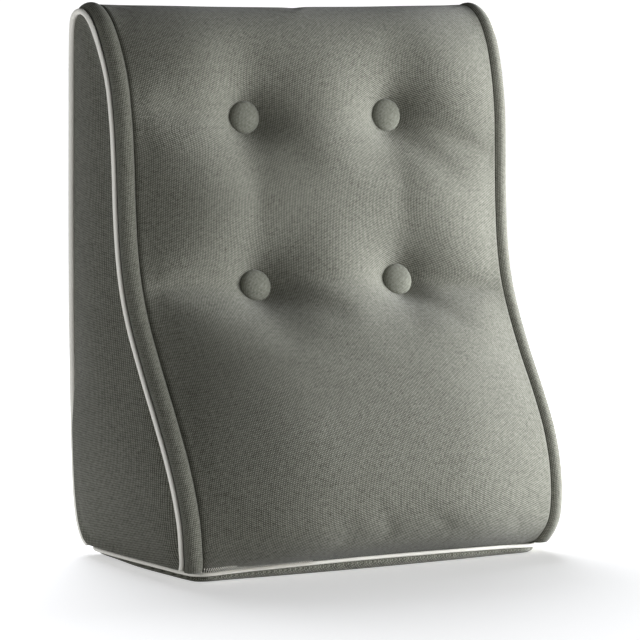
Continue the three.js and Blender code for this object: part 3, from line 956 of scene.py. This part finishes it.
for spot in tufts:
    name = "button_" + spot["name"]
    finishPiece(makeButton(name + "_cover", spot), buttonFabric, "button_fabric", name)
print("the buttons are done")

# The studio: a pale floor, large soft lights low on the right, and weak light from all round.
studio = {
    "floorReach": 30.0,
    "floorColour": (0.8, 0.8, 0.8, 1),
    # the floor glows less near the pillow: painted shade around it
    "floorGlowWithPaintedShade": (0.52, 1.0),           # near the pillow and far from it,
    "paintedShadeFrom": (0.3, 1.6),             # at these distances
    "bounce": 0.14,                     # what the floor sends back
    "around": 0.262,                    # how bright it is all round, and straight above,
    "above": 0.04,
    "upFrom": (0.1, 0.9),               # between these heights
    "backdrop": 1.1,                    # how bright the background looks
    "daylight": (0.98, 1.0, 1.05),
    "aim": (0, 0, 0.3),
    # each light: place, size, power, and what it lights
    "lights": {
        "key": ((2.65, -0.55, 0.45), (1.3, 0.7), 228, "panels"),
        "front": ((2.15, -1.85, 0.45), (1.4, 0.7), 56, "pieces"),
        "trim": ((1.0, -2.9, 0.3), (1.4, 0.7), 40, "trim"),
        "pipingFill": ((-2.9, -0.9, 0.4), (1.5, 0.7), 20, "piping"),
        "fill": ((-2.6, 0.6, 0.4), (1.5, 0.6), 5, "pieces"),
        "overhead": ((0.35, 1.4, 1.8), (1.8, 1.6), 70, "floor"),
    },
    # which pieces each of those groups has, by name
    "groups": {
        "floor": lambda name: name == "floor",
        "pieces": lambda name: name != "floor",
        "panels": lambda name: name not in ("floor", "borderRoll_left"),
        "trim": lambda name: "sidePiping" in name or "Roll" in name or "Stitches" in name,
        "piping": lambda name: "Piping" in name,
    },
}


def makeFloor():
    # a wide square at the height of 0 that glows: white far from the pillow, and close to it a weaker glow
    # that is painted shade, beside the real shadows; the light it sends back to the pieces is set apart from
    # how it looks
    reach = studio["floorReach"]
    mesh = bpy.data.meshes.new("floor")
    corners = [(-reach, -reach, 0), (reach, -reach, 0), (reach, reach, 0), (-reach, reach, 0)]
    mesh.from_pydata(corners, [], [(0, 1, 2, 3)])
    obj = bpy.data.objects.new("floor", mesh)
    bpy.context.collection.objects.link(obj)
    paint = bpy.data.materials.new("pale floor with painted shade")
    paint.use_nodes = True
    tree = paint.node_tree
    tree.nodes.clear()
    rays = tree.nodes.new("ShaderNodeLightPath")
    where = tree.nodes.new("ShaderNodeTexCoord")
    away = addNode(tree, "ShaderNodeVectorMath", "LENGTH", i0=where.outputs["Object"])
    near, far = studio["paintedShadeFrom"]
    glowInPaintedShade, glowFar = studio["floorGlowWithPaintedShade"]
    # a weaker glow close to the pillow, painted shade that darkens the floor round it
    paleGlowWithPaintedShade = addNode(tree, "ShaderNodeMapRange", i0=away.outputs["Value"], i1=near, i2=far, i3=glowInPaintedShade,
                       i4=glowFar)
    diffuse = addNode(tree, "ShaderNodeBsdfDiffuse", Color=studio["floorColour"])
    strength = addNode(tree, "ShaderNodeMix", i0=rays.outputs["Is Camera Ray"], i2=studio["bounce"],
                       i3=paleGlowWithPaintedShade.outputs[0])
    glow = addNode(tree, "ShaderNodeEmission", Color=(1, 1, 1, 1), Strength=strength.outputs[0])
    both = addNode(tree, "ShaderNodeAddShader", i0=diffuse.outputs[0], i1=glow.outputs[0])
    addNode(tree, "ShaderNodeOutputMaterial", i0=both.outputs[0])
    mesh.materials.append(paint)
    return obj


def makeSurroundings():
    # white to the camera, and for the pieces dimmer straight above than all round
    world = bpy.data.worlds.new("studio")
    world.use_nodes = True
    tree = world.node_tree
    tree.nodes.clear()
    rays = tree.nodes.new("ShaderNodeLightPath")
    direction = tree.nodes.new("ShaderNodeTexCoord")
    parts = addNode(tree, "ShaderNodeSeparateXYZ", i0=direction.outputs["Generated"])
    low, high = studio["upFrom"]
    dim = addNode(tree, "ShaderNodeMapRange", i0=parts.outputs[2], i1=low, i2=high, i3=studio["around"],
                  i4=studio["above"])
    strength = addNode(tree, "ShaderNodeMix", i0=rays.outputs["Is Camera Ray"], i2=dim.outputs[0],
                       i3=studio["backdrop"])
    glow = addNode(tree, "ShaderNodeBackground", i1=strength.outputs[0])
    glow.inputs[0].default_value = (1, 1, 1, 1)
    addNode(tree, "ShaderNodeOutputWorld", i0=glow.outputs[0])
    return world


def addLight(name, place, size, power, receivers):
    # a rectangular lamp that faces the middle of the pillow and lights only its receivers
    lamp = bpy.data.lights.new(name, "AREA")
    lamp.shape = "RECTANGLE"
    lamp.size, lamp.size_y = size
    lamp.energy = power
    lamp.color = studio["daylight"]
    obj = bpy.data.objects.new(name, lamp)
    bpy.context.collection.objects.link(obj)
    obj.location = place
    obj.rotation_euler = (Vector(studio["aim"]) - Vector(place)).to_track_quat("-Z", "Y").to_euler()
    obj.light_linking.receiver_collection = receivers


makeFloor()
bpy.context.scene.world = makeSurroundings()
receivers = {}
for group, belongs in studio["groups"].items():
    receivers[group] = bpy.data.collections.new(group)
    for obj in bpy.context.scene.objects:
        if obj.type == "MESH" and belongs(obj.name):
            receivers[group].objects.link(obj)
for name, (place, size, power, group) in studio["lights"].items():
    addLight(name, place, size, power, receivers[group])
print("the studio is done")

# The camera: 29 degrees to the left of straight ahead, 3.6 m away and a little above level, with a long
# lens.
view = {
    "place": (-1.7699, -3.1850, 0.5910),
    "right": (0.87479509, -0.48449308, 0),
    "up": (0.04426597, 0.07992612, 0.99581742),
    "lens": 189.8,
    "sensor": 36,
}
cameraData = bpy.data.cameras.new("camera")
cameraData.lens = view["lens"]
cameraData.sensor_width = view["sensor"]
camera = bpy.data.objects.new("camera", cameraData)
bpy.context.collection.objects.link(camera)
right, up = Vector(view["right"]), Vector(view["up"])
turned = Matrix((right, up, right.cross(up))).transposed().to_4x4()
camera.matrix_world = Matrix.Translation(view["place"]) @ turned
bpy.context.scene.camera = camera
bpy.context.scene.view_settings.view_transform = "Standard"
